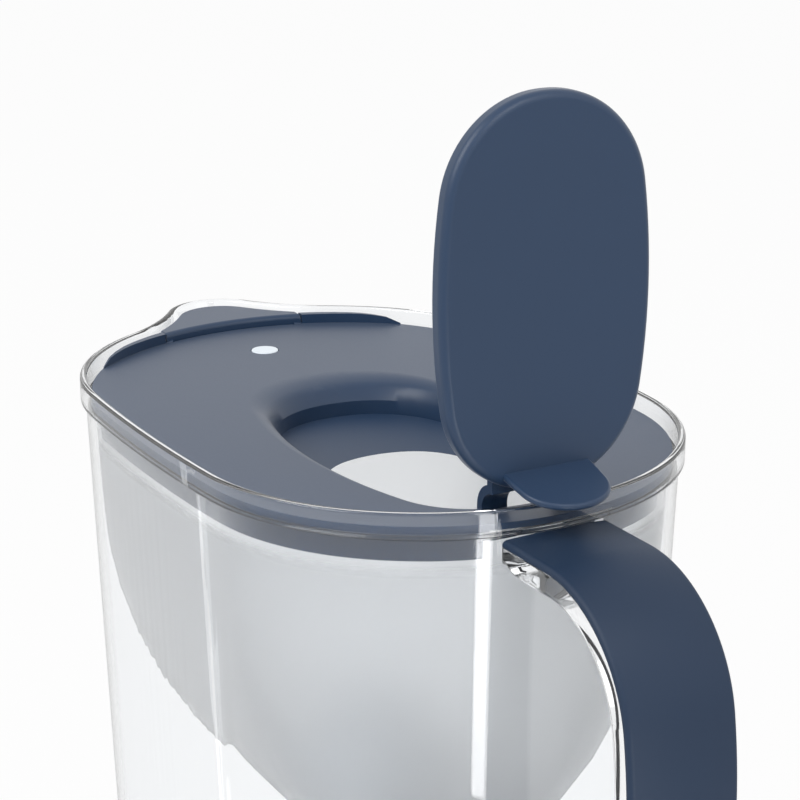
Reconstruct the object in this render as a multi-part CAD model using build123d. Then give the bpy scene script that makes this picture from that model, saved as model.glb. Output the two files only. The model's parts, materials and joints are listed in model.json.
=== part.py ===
from build123d import *
import math
import os
from dataclasses import dataclass

# Family-size water filter pitcher with a flip lid, in millimetres.
# Origin: centre of the resting face of the base. +Z up, spout towards -X, handle towards +X.

# ---------------------------------------------------------------- jug
jug_height = 266.0
rim_half_length = 99.6
rim_half_width = 69.6
rim_side_flatness = 8.5       # side arc radius, as a multiple of the half width
rim_end_flatness = 1.027      # end arc radius, as a multiple of the half width
rim_corner_fullness = 0.9     # corner arc radius, as a multiple of the half width
rim_wall = 2.0
collar_height = 7.0
collar_step = 1.2
wall = 2.4
wall_draft = 2.1              # degrees
base_thickness = 3.0
base_edge_radius = 8.0
foot_height = 1.2
foot_width = 7.0
ledge_depth = 7.8             # from the rim down to the ledge that carries the hopper

# ---------------------------------------------------------------- spout
spout_reach = 17.2            # beyond the oval of the rim
spout_tip_radius = 16.6
spout_blend_radius = 64.0
spout_depth = 58.0

# ---------------------------------------------------------------- handle
handle_top_depth = 7.4        # from the rim down to the top of the grip
handle_straight = 16.6        # from the rim's end to the first bend
handle_bend_radii = (37.8, 150.0, 60.0)
handle_bend_turns = (80.0, 35.0, 45.0)
grip_thickness = 3.0          # at the middle of its crown
grip_crown = 1.2              # how far its long edges lie below the middle
grip_width = 31.0
grip_edge_radius = 0.8
core_thickness = 7.0
core_width = 30.2
core_edge_radius = 2.5

# ---------------------------------------------------------------- hopper
hopper_rim_clearance = 0.4
hopper_wall_clearance = 0.6
hopper_flange = 1.4
hopper_wall = 1.8
hopper_floor = 2.0
hopper_depth = 118.0
bowl_inset = 32.7             # how far the bowl has drawn in at its floor
bowl_curve = 3.35             # exponent of the bowl's profile
bowl_sections = 8
pour_gap_width = 46.0
well_bore_radius = 23.0
well_wall = 2.0
well_depth = 12.0

# ---------------------------------------------------------------- cartridge
cartridge_clearance = 0.6
cartridge_length = 84.0
cartridge_wall = 1.6
cartridge_flange_width = 3.0
cartridge_flange = 2.0
seal_clearance = 0.05
seal_height = 4.0
cap_height = 16.0
cap_dome_inset = 7.0
cap_slots = 12
cap_slot_width = 1.6
outlet_holes = 7
outlet_hole_radius = 2.0
screen_thickness = 1.2
granule_gap = 0.4

# ---------------------------------------------------------------- lid
lid_drop = 4.3                # from the rim down to the lid's top face
lid_rim_gap = 1.4
skirt_clearance = 0.4
skirt_thickness = 1.8
skirt_depth = 14.3            # from the rim down to the skirt's lower edge
recess_wall = 2.0
recess_side_bow = 10.78       # how far its sides curve in from the middle to the ends
recess_tip_flatness = 1.188   # radii of its outline, as multiples of its half width
recess_tip_fullness = 0.844
recess_tail_flatness = 1.525
recess_tail_fullness = 0.669
recess_shoulder_depth = 9.7   # from the rim, where the roll-over ends
recess_floor_depth = 13.9
recess_hole_depth = 17.6
roll_over_front = 14.0
roll_over_side = 4.4
roll_over_rear = 0.8
roll_over_sections = 5
hole_front_gap = 26.0         # behind the tip of the recess
hole_half_width = 24.0
hole_rear_gap = 4.0           # in front of the rear strip
crescent_rise = 2.9
crescent_radius = 73.9
crescent_width = 3.0          # at the middle, from its arc to the lid's edge
crescent_half_width = 50.2    # where the horns end
crescent_taper = 13.0         # length over which each horn falls
crescent_taper_steps = 4
crescent_tip_rise = 0.4       # height left at the horns' ends

# ---------------------------------------------------------------- flip lid and its hinge
flip_length_share = 0.498     # of the rim's length
flip_half_width = 30.1
flip_thickness = 5.3
flip_side_bow = 6.94          # how far its sides curve in from the middle to the ends
flip_tip_flatness = 1.405     # radii of its outline, as multiples of its half width
flip_tip_fullness = 0.924
flip_tail_flatness = 1.897
flip_tail_fullness = 0.884
flip_edge_radius = 2.2
flip_front_gap = 4.9          # between the closed lid and the recess
flip_side_gap = 0.7
flip_open_angle = 89.3
flip_foot_rise = 1.0          # of the open lid's lower edge above the rim
flip_top_offset = 0.1         # closed, below the lid's top face
hinge_inset = 11.6            # from the rim's end to the pin
hinge_depth = 8.4
hinge_pin_radius = 1.0
hinge_running_fit = 0.05
hinge_knuckle_radius = 2.1
arm_inner_y = 6.8
arm_width = 7.4
arm_thickness = 2.3
arm_bow_radius = 7.1
arm_bow_rise = 4.4            # of the bow's centre above the pin
arm_bow_offset = 1.0          # of the bow's centre towards the handle
lug_width = 3.0
lug_side_gap = 0.3
strip_overlap = 2.2           # of the rear strip, in front of the pin
liner_inset = 6.0
liner_height = 3.0
liner_wall = 1.6
liner_tail_gap = 11.0
tab_reach = 17.3
tab_half_width = 12.8
tab_root_height = 15.1        # above the pin
tab_slope = 13.4              # degrees below level
tab_thickness = 1.9
tab_edge_radius = 0.8
tab_side_flatness = 12.0      # radii of the tab's outline, as multiples of its half width
tab_end_flatness = 1.15
tab_corner_fullness = 0.72

# ---------------------------------------------------------------- spout flap
flap_half_width = 23.0
flap_gap = 0.4
flap_spout_gap = 1.5
flap_thickness = 2.2
flap_rear_depth = 1.7         # rear wall below the lid's top face
flap_rear_wall = 2.2
flap_pin_inset = 9.3          # from the rim's end
flap_pin_drop = 0.4           # below the lid's top face
flap_pin_radius = 0.9
flap_pin_length = 3.0

# ---------------------------------------------------------------- filter change indicator
indicator_inset = 31.5        # from the rim's end
button_radius = 4.1
button_gap = 0.2
button_proud = 0.2
button_travel = 0.6
button_flange_width = 1.0
button_flange = 0.6
housing_radius = 16.0
housing_wall = 1.4
housing_depth = 11.0
housing_shoulder = 1.5
cover_thickness = 1.5
cover_seal_radius = 0.6
cell_radius = 10.0
cell_height = 3.2
contact_thickness = 0.5
contact_width = 5.0
board_thickness = 1.2
switch_size = 3.0
switch_height = 1.4
led_size = 1.6
led_height = 0.8
led_offset = 3.2
small_gap = 0.2

# ---------------------------------------------------------------- working distances
over = 1.0                    # how far a cutting solid stands past the face it cuts
touch = 0.01                  # how close a point counts as on a face
near = 0.5                    # how close a point counts as on a curve
steep = 0.9                   # slope beyond which an edge counts as upright
far = 2 * rim_half_length     # beyond the whole lid


@dataclass(frozen=True)
class Outline:
    """A closed plan outline of eight tangent arcs, symmetric about the X axis."""

    tip_x: float
    tail_x: float
    half_width: float
    side_radius: float
    tip_radius: float
    tip_corner: float
    tail_radius: float
    tail_corner: float

    def grown(self, by):
        """The parallel outline, larger by a distance all round."""
        return Outline(
            self.tip_x - by,
            self.tail_x + by,
            self.half_width + by,
            self.side_radius + by,
            self.tip_radius + by,
            self.tip_corner + by,
            self.tail_radius + by,
            self.tail_corner + by,
        )

    def corner_points(self, way):
        """Start, middle and end of the upper corner arc at the tip (-1) or the tail (1)."""
        end_radius = self.tip_radius if way < 0 else self.tail_radius
        corner_radius = self.tip_corner if way < 0 else self.tail_corner
        end_x = self.tip_x + end_radius if way < 0 else self.tail_x - end_radius
        end_centre = Vector(end_x, 0)
        side_centre = Vector((self.tip_x + self.tail_x) / 2, self.half_width - self.side_radius)
        between = side_centre - end_centre
        reach_end = end_radius - corner_radius
        reach_side = self.side_radius - corner_radius
        span = between.length
        along = (reach_end**2 - reach_side**2 + span**2) / (2 * span)
        across = math.sqrt(max(reach_end**2 - along**2, 0.0))
        unit = between / span
        normal = Vector(unit.Y, -unit.X) * across
        foot = end_centre + unit * along
        centre = max(foot + normal, foot - normal, key=lambda point: point.Y + way * point.X)
        from_end = (centre - end_centre).normalized()
        from_side = (centre - side_centre).normalized()
        first = end_centre + from_end * end_radius
        middle = centre + (from_end + from_side).normalized() * corner_radius
        last = side_centre + from_side * self.side_radius
        return first, middle, last

    def wire(self, z):
        """The outline as a wire at a height."""
        tip_first, tip_middle, tip_last = self.corner_points(-1)
        tail_first, tail_middle, tail_last = self.corner_points(1)
        middle_x = (self.tip_x + self.tail_x) / 2

        def up(point):
            return (point.X, point.Y, z)

        def down(point):
            return (point.X, -point.Y, z)

        edges = [
            ThreePointArc(up(tip_first), (self.tip_x, 0, z), down(tip_first)),
            ThreePointArc(down(tip_first), down(tip_middle), down(tip_last)),
            ThreePointArc(down(tip_last), (middle_x, -self.half_width, z), down(tail_last)),
            ThreePointArc(down(tail_last), down(tail_middle), down(tail_first)),
            ThreePointArc(down(tail_first), (self.tail_x, 0, z), up(tail_first)),
            ThreePointArc(up(tail_first), up(tail_middle), up(tail_last)),
            ThreePointArc(up(tail_last), (middle_x, self.half_width, z), up(tip_last)),
            ThreePointArc(up(tip_last), up(tip_middle), up(tip_first)),
        ]
        return Wire(edges)


def bow_radius(length, bow):
    """Radius of an arc that curves in by the bow over the length."""
    return length**2 / (8 * bow) + bow / 2


def prism(outline, low, high):
    """A straight-sided solid on an outline."""
    return extrude(Face(outline.wire(low)), amount=high - low, dir=(0, 0, 1))


def stack(sections):
    """A solid through (outline, height) sections, straight between them."""
    return Solid.make_loft([outline.wire(z) for outline, z in sections], ruled=True)


def block(low_x, high_x, low_y, high_y, low_z, high_z):
    """A box between two corners."""
    size = (high_x - low_x, high_y - low_y, high_z - low_z)
    centre = ((low_x + high_x) / 2, (low_y + high_y) / 2, (low_z + high_z) / 2)
    return Pos(*centre) * Box(*size)


def disc(radius, x, low, high):
    """An upright cylinder on the X axis line."""
    return Pos(x, 0, (low + high) / 2) * Cylinder(radius, high - low)


def rod(radius, x, z, low_y, high_y):
    """A cylinder along Y."""
    return Pos(x, (low_y + high_y) / 2, z) * Rot(90, 0, 0) * Cylinder(radius, high_y - low_y)


# ---------------------------------------------------------------- places worked out from the sizes
rim_top = jug_height
collar_bottom = rim_top - collar_height
ledge = rim_top - ledge_depth
flange_top = ledge + hopper_flange
lid_top = rim_top - lid_drop
lid_thickness = lid_top - flange_top
hopper_bottom = rim_top - hopper_depth
hopper_floor_top = hopper_bottom + hopper_floor
hinge_z = rim_top - hinge_depth
hinge_x = rim_half_length - hinge_inset
strip_front_x = hinge_x - strip_overlap
crescent_centre_x = crescent_radius + crescent_width + rim_wall + lid_rim_gap - rim_half_length
flap_pin_x = flap_pin_inset - rim_half_length
indicator_x = indicator_inset - rim_half_length
draft_rate = math.tan(math.radians(wall_draft))

rim = Outline(
    -rim_half_length,
    rim_half_length,
    rim_half_width,
    rim_half_width * rim_side_flatness,
    rim_half_width * rim_end_flatness,
    rim_half_width * rim_corner_fullness,
    rim_half_width * rim_end_flatness,
    rim_half_width * rim_corner_fullness,
)


def wall_inset(z):
    """How far the wall's outer face stands inside the rim at a height."""
    return collar_step + draft_rate * (rim_top - z)


# ---------------------------------------------------------------- jug and handle
def spout_wire(grow, z):
    """Plan outline of the spout at a height: a round nose blended into the end of the rim."""
    slope = (spout_reach + collar_step + draft_rate * spout_depth) / spout_depth
    shift = slope * (rim_top - z)
    end_centre = Vector(-rim_half_length + rim.tip_radius, 0)
    nose_centre = Vector(-rim_half_length - spout_reach + spout_tip_radius, 0)
    span = (end_centre - nose_centre).length
    from_end = rim.tip_radius + spout_blend_radius
    from_nose = spout_tip_radius + spout_blend_radius
    along = (from_end**2 - from_nose**2 + span**2) / (2 * span)
    across = math.sqrt(from_end**2 - along**2)
    blend_centre = Vector(end_centre.X - along, across)
    to_blend = (blend_centre - end_centre).normalized()
    to_blend_nose = (blend_centre - nose_centre).normalized()
    root = end_centre + to_blend * (rim.tip_radius + grow)
    nose = nose_centre + to_blend_nose * (spout_tip_radius + grow)
    inward = -(to_blend + to_blend_nose).normalized()
    blend = blend_centre + inward * (spout_blend_radius - grow)
    inner_x = end_centre.X - rim.tip_radius / 2

    def at(x, y):
        return (x + shift, y, z)

    edges = [
        Line(at(inner_x, root.Y), at(root.X, root.Y)),
        ThreePointArc(at(root.X, root.Y), at(blend.X, blend.Y), at(nose.X, nose.Y)),
        ThreePointArc(
            at(nose.X, nose.Y),
            at(nose_centre.X - spout_tip_radius - grow, 0),
            at(nose.X, -nose.Y),
        ),
        ThreePointArc(at(nose.X, -nose.Y), at(blend.X, -blend.Y), at(root.X, -root.Y)),
        Line(at(root.X, -root.Y), at(inner_x, -root.Y)),
        Line(at(inner_x, -root.Y), at(inner_x, root.Y)),
    ]
    return Wire(edges)


def spout_solid(grow, low, high):
    """The spout between two heights, slanting back into the wall."""
    return Solid.make_loft([spout_wire(grow, low), spout_wire(grow, high)], ruled=True)


def handle_line(offset):
    """The handle's outer line, moved inwards by an offset, from wall to wall in the XZ plane."""
    first, second, third = handle_bend_radii
    turns = []
    angle = 90.0
    for turn in handle_bend_turns:
        turns.append((angle, angle - turn))
        angle -= turn
    centre = Vector(rim_half_length + handle_straight, 0, rim_top - handle_top_depth - first)

    def direction(degrees):
        return Vector(math.cos(math.radians(degrees)), 0, math.sin(math.radians(degrees)))

    start = centre + direction(90) * (first - offset)
    inner_x = rim_half_length - wall_inset(0) - wall - 2 * core_thickness
    edges = [Line((inner_x, 0, start.Z), start)]
    radius = first
    for (begin, end), next_radius in zip(turns, (second, third, third)):
        arc_radius = radius - offset
        edges.append(
            ThreePointArc(
                centre + direction(begin) * arc_radius,
                centre + direction((begin + end) / 2) * arc_radius,
                centre + direction(end) * arc_radius,
            )
        )
        last = centre + direction(end) * arc_radius
        centre = centre + direction(end) * (radius - next_radius)
        radius = next_radius
    heading = direction(turns[-1][1] - 90)
    edges.append(Line(last, last + heading * ((last.X - inner_x) / -heading.X)))
    return edges


def strap(outer_offset, inner_offset, width):
    """A band of the handle between two offsets from its outer line."""
    outer = handle_line(outer_offset)
    inner = handle_line(inner_offset)
    ends = [
        Line(outer[0] @ 0, inner[0] @ 0),
        Line(outer[-1] @ 1, inner[-1] @ 1),
    ]
    face = Face(Wire(outer + inner + ends))
    return extrude(face, amount=width / 2, dir=(0, 1, 0), both=True)


def long_edges(solid, half_width, offset):
    """The two long edge chains of a strap at an offset from the handle's outer line."""
    samples = [edge @ 0.5 for edge in handle_line(offset)]
    found = []
    for edge in solid.edges():
        middle = edge @ 0.5
        if abs(abs(middle.Y) - half_width) > touch:
            continue
        if any((Vector(middle.X, 0, middle.Z) - sample).length < near for sample in samples):
            found.append(edge)
    return found


def jug_outer():
    """The jug's outside: collar, drafted wall, rounded base and spout."""
    body = stack([(rim.grown(-wall_inset(0)), 0), (rim.grown(-wall_inset(collar_bottom)), collar_bottom)])
    base_edges = [edge for edge in body.edges() if edge.center().Z < touch]
    body = body.fillet(base_edge_radius, base_edges)
    collar = prism(rim, collar_bottom, rim_top)
    return body + collar + spout_solid(0, rim_top - spout_depth, rim_top)


def jug_cavity():
    """The space inside the jug, open at the rim and the spout."""
    body = stack(
        [
            (rim.grown(-wall_inset(base_thickness) - wall), base_thickness),
            (rim.grown(-wall_inset(ledge) - wall), ledge),
        ]
    )
    floor_edges = [edge for edge in body.edges() if edge.center().Z < base_thickness + touch]
    body = body.fillet(base_edge_radius - wall, floor_edges)
    bore = prism(rim.grown(-rim_wall), ledge, rim_top + over)
    return body + bore + spout_solid(-rim_wall, rim_top - spout_depth, rim_top + over)


def jug():
    """Jug moulding with the handle's core, the ledge for the hopper and a foot ring."""
    core = strap(grip_thickness, grip_thickness + core_thickness, core_width)
    core = core.fillet(
        core_edge_radius,
        long_edges(core, core_width / 2, grip_thickness + core_thickness),
    )
    foot = rim.grown(-wall_inset(0) - base_edge_radius - foot_width)
    return jug_outer() + core - jug_cavity() - prism(foot, -over, foot_height)


def crowned_band():
    """A band along the handle's outer line with a crowned outside, deeper than the grip."""
    path = handle_line(0)
    start = path[0] @ 0
    half_width = grip_width / 2

    def at(y, depth):
        return Vector(start.X, y, start.Z - depth)

    deep = grip_thickness + over
    section = [
        ThreePointArc(at(-half_width, grip_crown), at(0, 0), at(half_width, grip_crown)),
        Line(at(half_width, grip_crown), at(half_width, deep)),
        Line(at(half_width, deep), at(-half_width, deep)),
        Line(at(-half_width, deep), at(-half_width, grip_crown)),
    ]
    return sweep(Face(Wire(section)), path=Wire(path))


def handle_grip(jug_solid):
    """Soft cover over the outside of the handle, from under the collar to the lower wall."""
    cover = strap(0, grip_thickness, grip_width) & crowned_band()
    cover = cover.fillet(grip_edge_radius, long_edges(cover, grip_width / 2, grip_crown))
    cover = cover - jug_outer() - jug_cavity()
    pieces = sorted(cover.solids(), key=lambda piece: piece.volume)
    return pieces[-1] - jug_solid


# ---------------------------------------------------------------- hopper
def bowl_outline(depth, inside):
    """The bowl's outline at a depth below the rim: nearly straight, then drawn in."""
    start = wall_inset(ledge) + wall + hopper_wall_clearance
    drawn_in = bowl_inset * (depth / hopper_depth) ** bowl_curve
    return rim.grown(-start - draft_rate * (depth - ledge_depth) - drawn_in - inside)


def hopper():
    """Hopper that hangs on the ledge, with a bowl and a well for the cartridge."""
    step = (hopper_depth - ledge_depth) / bowl_sections
    depths = [ledge_depth + step * index for index in range(bowl_sections + 1)]
    outside = stack([(bowl_outline(depth, 0), rim_top - depth) for depth in depths])
    inner_depths = depths[:-1] + [hopper_depth - hopper_floor]
    inside = stack([(bowl_outline(depth, hopper_wall), rim_top - depth) for depth in inner_depths])
    flange = prism(rim.grown(-rim_wall - hopper_rim_clearance), ledge, flange_top)
    throat = bowl_outline(ledge_depth, hopper_wall)
    upper_wall = prism(bowl_outline(ledge_depth, 0), ledge, flange_top)
    pour_gap = block(
        -far,
        -rim_half_length / 2,
        -pour_gap_width / 2,
        pour_gap_width / 2,
        ledge - over,
        flange_top + over,
    )
    rim_ring = (flange - pour_gap) + upper_wall - prism(throat, ledge - over, flange_top + over)
    well_outside = disc(well_bore_radius + well_wall, 0, hopper_bottom - well_depth, hopper_floor_top)
    well_bore = disc(well_bore_radius, 0, hopper_bottom - well_depth - over, hopper_floor_top + over)
    return (outside - inside) + rim_ring + well_outside - well_bore


# ---------------------------------------------------------------- cartridge
cartridge_radius = well_bore_radius - cartridge_clearance
cartridge_top = hopper_floor_top + cartridge_flange
cartridge_bottom = cartridge_top - cartridge_length


def cartridge_housing():
    """Cup of the filter cartridge, with the flange that rests on the hopper's floor."""
    body = disc(cartridge_radius, 0, cartridge_bottom, cartridge_top)
    flange = disc(well_bore_radius + cartridge_flange_width, 0, hopper_floor_top, cartridge_top)
    bore = disc(cartridge_radius - cartridge_wall, 0, cartridge_bottom + cartridge_wall, cartridge_top + over)
    groove = disc(cartridge_radius, 0, hopper_floor_top - seal_height, hopper_floor_top)
    groove = groove - disc(cartridge_radius - cartridge_wall / 2, 0, hopper_floor_top - seal_height, hopper_floor_top)
    cup = body + flange - bore - groove
    ring_radius = cartridge_radius / 2
    for index in range(outlet_holes):
        angle = 2 * math.pi * index / (outlet_holes - 1)
        reach = ring_radius if index < outlet_holes - 1 else 0.0
        hole = Pos(reach * math.cos(angle), reach * math.sin(angle), cartridge_bottom)
        cup = cup - hole * Cylinder(outlet_hole_radius, 3 * cartridge_wall)
    return cup


def cartridge_cap():
    """Domed cap with inlet slots, closing the cartridge from above."""
    radius = cartridge_radius
    dome = Pos(0, 0, cartridge_top + cap_height / 2) * Cone(radius, radius - cap_dome_inset, cap_height)
    hollow = Pos(0, 0, cartridge_top + (cap_height - cartridge_wall) / 2) * Cone(
        radius - cartridge_wall, radius - cap_dome_inset - cartridge_wall, cap_height - cartridge_wall
    )
    cap = dome - hollow
    slot_low = cartridge_top + cap_height / 3
    slot = Pos(radius, 0, slot_low + cap_height / 6) * Box(2 * radius, cap_slot_width, cap_height / 3)
    core = disc(radius - cap_dome_inset - 2 * cartridge_wall, 0, cartridge_top, cartridge_top + cap_height)
    for index in range(cap_slots):
        cap = cap - (Rot(0, 0, 360 * index / cap_slots) * slot - core)
    return cap


def cartridge_seal():
    """Lip ring that closes the gap between the cartridge and the well."""
    outside = disc(well_bore_radius - seal_clearance, 0, hopper_floor_top - seal_height, hopper_floor_top)
    return outside - disc(
        cartridge_radius - cartridge_wall / 2, 0, hopper_floor_top - seal_height - over, hopper_floor_top + over
    )


def filter_granules():
    """Bed of carbon and resin granules, as one solid."""
    low = cartridge_bottom + cartridge_wall + screen_thickness
    return disc(cartridge_radius - cartridge_wall - granule_gap, 0, low, cartridge_top - cartridge_flange)


def cartridge_screen():
    """Fine screen on the cartridge's floor."""
    low = cartridge_bottom + cartridge_wall
    return disc(cartridge_radius - cartridge_wall - small_gap, 0, low, low + screen_thickness)


# ---------------------------------------------------------------- flip lid, closed, as it lies in the lid
flip_closed_top = lid_top - flip_top_offset
flip_closed_bottom = flip_closed_top - flip_thickness
open_turn = Pos(hinge_x, 0, hinge_z) * Rot(0, flip_open_angle, 0) * Pos(-hinge_x, 0, -hinge_z)
flip_tail_x = hinge_x - (hinge_depth + flip_foot_rise)
flip_length = flip_length_share * 2 * rim_half_length
flip = Outline(
    flip_tail_x - flip_length,
    flip_tail_x,
    flip_half_width,
    bow_radius(flip_length, flip_side_bow),
    flip_half_width * flip_tip_flatness,
    flip_half_width * flip_tip_fullness,
    flip_half_width * flip_tail_flatness,
    flip_half_width * flip_tail_fullness,
)


def stretched(outline, tip_by, tail_by, side_by):
    """An outline with its ends and sides moved out by different amounts."""
    grown = outline.grown(side_by)
    return Outline(
        outline.tip_x - tip_by,
        outline.tail_x + tail_by,
        grown.half_width,
        grown.side_radius,
        grown.tip_radius,
        grown.tip_corner,
        grown.tail_radius,
        grown.tail_corner,
    )


# ---------------------------------------------------------------- lid
recess_half_width = flip_half_width + flip_side_gap
recess_tip_x = flip.tip_x - flip_front_gap
recess = Outline(
    recess_tip_x,
    strip_front_x,
    recess_half_width,
    bow_radius(strip_front_x - recess_tip_x, recess_side_bow),
    recess_half_width * recess_tip_flatness,
    recess_half_width * recess_tip_fullness,
    recess_half_width * recess_tail_flatness,
    recess_half_width * recess_tail_fullness,
)
hole = stretched(
    recess,
    -hole_front_gap,
    -hole_rear_gap,
    hole_half_width - recess.half_width,
)
shoulder = rim_top - recess_shoulder_depth
recess_floor = rim_top - recess_floor_depth
hole_level = rim_top - recess_hole_depth


def roll_over(grow, top, bottom):
    """Sections of the roll-over from the lid's top face down to the recess wall."""
    sections = [(recess.grown(grow), bottom)]
    for index in range(1, roll_over_sections + 1):
        reach = index / roll_over_sections
        drop = (top - bottom) * (1 - math.sqrt(1 - (1 - reach) ** 2))
        outline = stretched(recess, roll_over_front * reach, roll_over_rear * reach, roll_over_side * reach)
        sections.append((outline.grown(grow), top - drop))
    return sections


def recess_space():
    """What the recess and its fill hole take out of the lid."""
    dish = stack(roll_over(0.0, lid_top, shoulder))
    well = prism(recess, recess_floor, shoulder)
    funnel = stack([(hole, hole_level), (recess, recess_floor)])
    mouth = prism(hole, hole_level - 3 * recess_wall, hole_level)
    above = prism(stretched(recess, roll_over_front, roll_over_rear, roll_over_side), lid_top, lid_top + over)
    return dish + well + funnel + mouth + above


def recess_shell():
    """The lid's walls round the recess, before the space is cut."""
    dish = stack(roll_over(recess_wall, lid_top - recess_wall, shoulder))
    well = prism(recess.grown(recess_wall), recess_floor, shoulder)
    funnel = stack([(hole.grown(recess_wall), hole_level), (recess.grown(recess_wall), recess_floor)])
    return dish + well + funnel


def flap_zone(gap, low, high):
    """The middle of the lid's spout end, outside the crescent's inner arc."""
    strip = block(
        -far, crescent_centre_x, -flap_half_width - gap, flap_half_width + gap, low, high
    )
    return strip - disc(crescent_radius - gap, crescent_centre_x, low - over, high + over)


def crescent():
    """Raised crescent along the spout end of the lid, with horns that fall towards their ends."""
    top = lid_top + crescent_rise
    tip = lid_top + crescent_tip_rise
    low = lid_top - lid_thickness / 2
    falls = crescent_half_width - crescent_taper
    pad = prism(rim.grown(-rim_wall - lid_rim_gap), low, top + over)
    pad = pad - disc(crescent_radius, crescent_centre_x, low - over, top + 2 * over)
    shares = [index / crescent_taper_steps for index in range(crescent_taper_steps + 1)]
    horn = [
        (falls + crescent_taper * share, tip + (top - tip) * math.sqrt(1 - share**2))
        for share in shares
    ]
    base = [(-crescent_half_width, low - over), (crescent_half_width, low - over)]
    corners = base + horn[::-1] + [(-y, z) for y, z in horn]
    outline = Wire.make_polygon([Vector(-far, y, z) for y, z in corners], close=True)
    reach = far + crescent_centre_x - crescent_radius / 2
    return pad & extrude(Face(outline), amount=reach, dir=(1, 0, 0))


def hinge_lugs():
    """Knuckles under the lid's rear strip that hold the flip lid's pin."""
    outer_y = arm_inner_y + arm_width + lug_side_gap
    spans = [
        (-outer_y - lug_width, -outer_y),
        (-arm_inner_y + lug_side_gap, arm_inner_y - lug_side_gap),
        (outer_y, outer_y + lug_width),
    ]
    lugs = None
    for low_y, high_y in spans:
        web = block(
            hinge_x - hinge_knuckle_radius,
            hinge_x + hinge_knuckle_radius,
            low_y,
            high_y,
            hinge_z,
            lid_top - lid_thickness / 2,
        )
        lug = web + rod(hinge_knuckle_radius, hinge_x, hinge_z, low_y, high_y)
        lugs = lug if lugs is None else lugs + lug
    return lugs


def hinge_room():
    """Space under the rear strip for the knuckles, and before it for the arms."""
    low_x = strip_front_x - hinge_knuckle_radius - 3 * arm_thickness
    low_z = hole_level - 3 * recess_wall
    lug_reach = arm_inner_y + arm_width + 2 * lug_side_gap + lug_width
    under = block(low_x, far, -lug_reach, lug_reach, low_z, hinge_z + hinge_knuckle_radius + lug_side_gap)
    arm_reach = arm_inner_y + arm_width + lug_side_gap
    return under + block(low_x, strip_front_x, -arm_reach, arm_reach, low_z, lid_top + over)


def lid_shell():
    """Lid: top plate, skirt, recess with the fill hole, crescent and hinge lugs."""
    plate = prism(rim.grown(-rim_wall - lid_rim_gap), flange_top, lid_top)
    hopper_inside = wall_inset(ledge) + wall + hopper_wall_clearance + hopper_wall
    skirt_outside = rim.grown(-hopper_inside - skirt_clearance)
    skirt_low = rim_top - skirt_depth
    skirt = prism(skirt_outside, skirt_low, flange_top)
    skirt = skirt - prism(skirt_outside.grown(-skirt_thickness), skirt_low - over, flange_top + over)
    lid = plate + skirt + recess_shell() + crescent()
    lid = lid - recess_space() - hinge_room() + hinge_lugs()
    lid = lid - flap_zone(flap_gap, skirt_low - over, rim_top)
    pin_span = arm_inner_y + arm_width + lug_side_gap + lug_width
    lid = lid - rod(hinge_pin_radius, hinge_x, hinge_z, -pin_span, pin_span)
    pin_start = flap_half_width - flap_rear_wall - flap_gap
    pin_end = flap_half_width + flap_gap + flap_pin_length
    for low_y, high_y in ((-pin_end, -pin_start), (pin_start, pin_end)):
        lid = lid - rod(flap_pin_radius + hinge_running_fit, flap_pin_x, lid_top - flap_pin_drop, low_y, high_y)
    return lid - disc(button_radius + button_gap, indicator_x, flange_top - over, lid_top + over)


# ---------------------------------------------------------------- flip lid, liner and pin
def hinge_arm(low_y):
    """One bowed arm from the flip lid round the edge of the strip to the pin, lid open."""
    centre_x = hinge_x + arm_bow_offset
    centre_z = hinge_z + arm_bow_rise
    high_y = low_y + arm_width
    ring = rod(arm_bow_radius, centre_x, centre_z, low_y, high_y)
    ring = ring - rod(arm_bow_radius - arm_thickness, centre_x, centre_z, low_y - over, high_y + over)
    keep = block(
        centre_x - 2 * arm_bow_radius, hinge_x, low_y, high_y, hinge_z - arm_bow_radius, centre_z + arm_bow_radius
    )
    knuckle = rod(hinge_knuckle_radius, hinge_x, hinge_z, low_y, high_y)
    plate_inner_x = hinge_x + flip_closed_bottom - hinge_z
    neck = block(
        plate_inner_x,
        plate_inner_x + arm_thickness,
        low_y,
        high_y,
        centre_z + arm_bow_radius - arm_thickness,
        hinge_z + 4 * arm_bow_rise,
    )
    return (ring & keep) + neck + knuckle


def thumb_tab():
    """Lever that leans out over the rim, lid open."""
    face_x = hinge_x + flip_closed_top - hinge_z
    start_x = face_x - flip_thickness / 2
    end_x = face_x + tab_reach
    fall = math.tan(math.radians(tab_slope))
    root_z = hinge_z + tab_root_height

    def top_z(x):
        return root_z - fall * (x - face_x)

    corners = [
        (start_x, 0, top_z(start_x)),
        (end_x, 0, top_z(end_x)),
        (end_x, 0, top_z(end_x) - tab_thickness),
        (start_x, 0, top_z(start_x) - tab_thickness),
    ]
    sheet = extrude(
        Face(Wire.make_polygon([Vector(*corner) for corner in corners], close=True)),
        amount=tab_half_width,
        dir=(0, 1, 0),
        both=True,
    )
    nose = Outline(
        start_x - 2 * tab_half_width,
        end_x,
        tab_half_width,
        tab_half_width * tab_side_flatness,
        tab_half_width * tab_end_flatness,
        tab_half_width * tab_corner_fullness,
        tab_half_width * tab_end_flatness,
        tab_half_width * tab_corner_fullness,
    )
    tab = sheet & prism(nose, hinge_z, hinge_z + 3 * tab_root_height)
    free_edges = [edge for edge in tab.edges() if (edge @ 0.5).X > face_x + tab_reach / 2]
    rounded = [edge for edge in free_edges if abs((edge % 0.5).Z) < steep]
    return tab.fillet(tab_edge_radius, rounded)


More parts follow.
